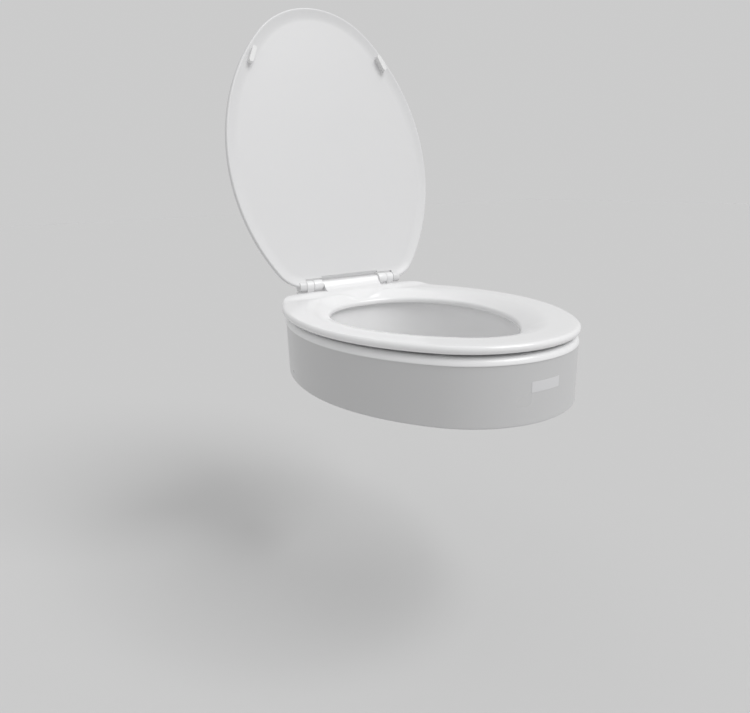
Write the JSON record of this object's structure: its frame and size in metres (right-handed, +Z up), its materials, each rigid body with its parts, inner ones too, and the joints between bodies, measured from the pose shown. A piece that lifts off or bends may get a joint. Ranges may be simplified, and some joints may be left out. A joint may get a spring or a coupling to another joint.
{
  "type": "raised toilet seat",
  "caption": "Raised toilet seat: hollow oval riser on rubber pads with a hinged contoured seat, hinged lid and two long mounting bolts.",
  "frame": {"origin": "midway between the two mounting bolts, on the plane of the rubber pad undersides, which is the top of the toilet bowl", "axes": "+Z up; -Y towards the front of the seat; +X to the sitter's left when seated facing the front, across the seat"},
  "size_m": [0.3668, 0.5622, 0.628],
  "materials": {
    "riser_plastic": "satin moulded polypropylene",
    "seat_plastic": "polished moulded polypropylene",
    "lid_plastic": "polished moulded polypropylene",
    "hinge_plastic": "satin moulded",
    "bumper_plastic": "soft matt",
    "pad_rubber": "matt",
    "label_film": "printed film",
    "bolt_steel": "zinc-plated",
    "nut_plastic": "moulded nylon"
  },
  "bodies": {
    "riser": {"riser_body": "riser_plastic", "riser_pad_front_left": "pad_rubber", "riser_pad_front_right": "pad_rubber", "riser_pad_rear_left": "pad_rubber", "riser_pad_rear_right": "pad_rubber", "rating_label": "label_film", "hinge_post_left": "hinge_plastic", "hinge_post_right": "hinge_plastic", "hinge_pin_left": "bolt_steel", "hinge_pin_right": "bolt_steel", "mounting_bolt_left": "bolt_steel", "mounting_bolt_right": "bolt_steel", "rubber_washer_left": "pad_rubber", "rubber_washer_right": "pad_rubber", "flat_washer_left": "bolt_steel", "flat_washer_right": "bolt_steel"},
    "seat": {"seat_ring": "seat_plastic", "seat_bumper_front_left": "bumper_plastic", "seat_bumper_front_right": "bumper_plastic", "seat_bumper_rear_left": "bumper_plastic", "seat_bumper_rear_right": "bumper_plastic"},
    "lid": {"lid_panel": "lid_plastic", "lid_bumper_left": "bumper_plastic", "lid_bumper_right": "bumper_plastic"},
    "cap_left": {"bolt_cap_left": "hinge_plastic"},
    "cap_right": {"bolt_cap_right": "hinge_plastic"},
    "nut_left": {"wing_nut_left": "nut_plastic"},
    "nut_right": {"wing_nut_right": "nut_plastic"}
  },
  "joints": [
    {"name": "lid_hinge", "type": "hinge", "parent": "riser", "child": "lid", "pos_m": [0, -0.018, 0.1179], "axis": [1, 0, 0], "range_deg": [0, 103.2]},
    {"name": "seat_hinge", "type": "hinge", "parent": "riser", "child": "seat", "pos_m": [0, -0.018, 0.1179], "axis": [1, 0, 0], "range_deg": [-101, 0]},
    {"name": "cap_hinge_left", "type": "hinge", "parent": "riser", "child": "cap_left", "pos_m": [-0.07, 0.018, 0.1004], "axis": [1, 0, 0], "range_deg": [-95, 0]},
    {"name": "cap_hinge_right", "type": "hinge", "parent": "riser", "child": "cap_right", "pos_m": [0.07, 0.018, 0.1004], "axis": [1, 0, 0], "range_deg": [-95, 0]},
    {"name": "nut_turn_left", "type": "hinge", "parent": "riser", "child": "nut_left", "pos_m": [-0.07, 0, -0.0398], "axis": [0, 0, 1], "continuous": true},
    {"name": "nut_turn_right", "type": "hinge", "parent": "riser", "child": "nut_right", "pos_m": [0.07, 0, -0.0398], "axis": [0, 0, 1], "continuous": true}
  ]
}
